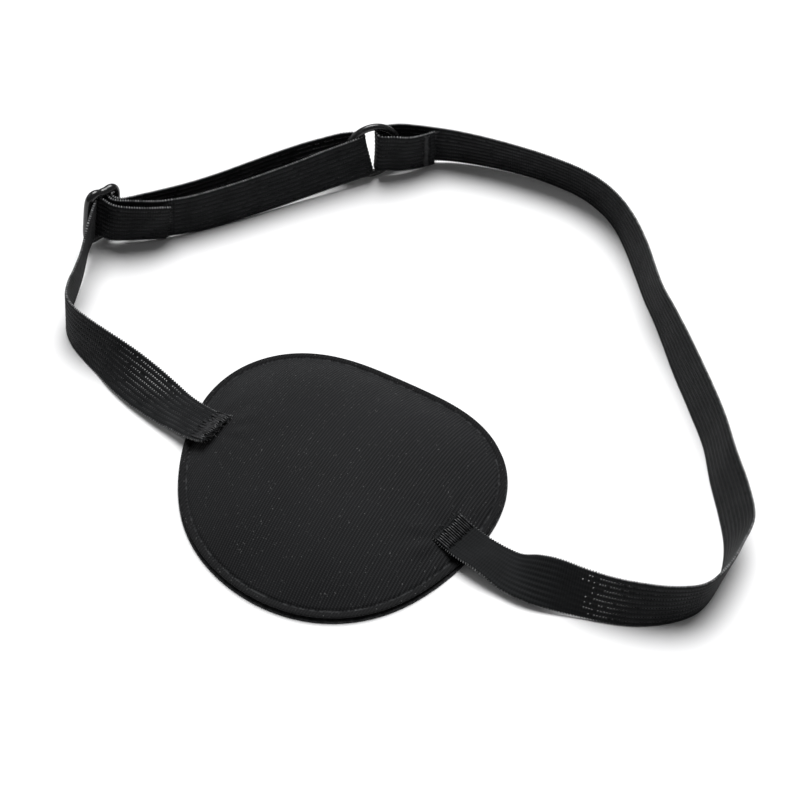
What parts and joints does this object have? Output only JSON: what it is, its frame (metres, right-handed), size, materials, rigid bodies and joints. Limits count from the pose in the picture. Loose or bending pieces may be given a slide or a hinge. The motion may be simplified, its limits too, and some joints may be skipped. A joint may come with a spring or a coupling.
{
  "type": "eye patch",
  "caption": "Domed padded eye patch with an elastic head strap, joined by a ring and set to size with a three-bar slider.",
  "frame": {"origin": "middle of the patch's rim underside, on the surface it rests on", "axes": "+X along the strap line towards the patch's right seam as worn facing the viewer, +Y towards the brow, +Z out of the patch's front"},
  "size_m": [0.1814, 0.1502, 0.0171],
  "materials": {
    "cover": "fine ribbed black cloth with a soft sheen",
    "foam": "black moulded foam",
    "lining": "soft black brushed cloth",
    "elastic": "black knitted elastic with lengthwise ribs and rows of small holes",
    "ring": "black coated wire, semi-gloss",
    "slider": "black moulded plastic, glossy",
    "thread": "black sewing thread in close satin stitches"
  },
  "bodies": {
    "root": {"front_cover": "cover", "foam_core": "foam", "back_lining": "lining", "left_strap_run": "elastic", "left_strap_ring_loop": "elastic", "right_strap": "elastic", "left_bartack": "thread", "right_bartack": "thread", "ring_loop_bartack": "thread"},
    "strap_end": {"left_strap_slider_pass": "elastic", "left_strap_end_loop": "elastic", "end_loop_bartack": "thread"},
    "slider": {"slider": "slider"},
    "ring": {"ring": "ring"}
  },
  "joints": [
    {"name": "slider_slide", "type": "slide", "parent": "root", "child": "strap_end", "axis": [0.66, 0.7513, 0], "range_m": [-0.01, 0.03], "deforming": ["left_strap_run", "left_strap_ring_loop"]},
    {"name": "slider_rock", "type": "hinge", "parent": "strap_end", "child": "slider", "pos_m": [-0.0892, 0.0426, 0.0086], "axis": [0.1032, 0.1175, 0.9877], "range_deg": [-20, 0]},
    {"name": "ring_spin", "type": "hinge", "parent": "root", "child": "ring", "pos_m": [-0.04254, 0.09571, 0.0081], "axis": [0.7484, -0.6575, 0.0872], "continuous": true}
  ]
}
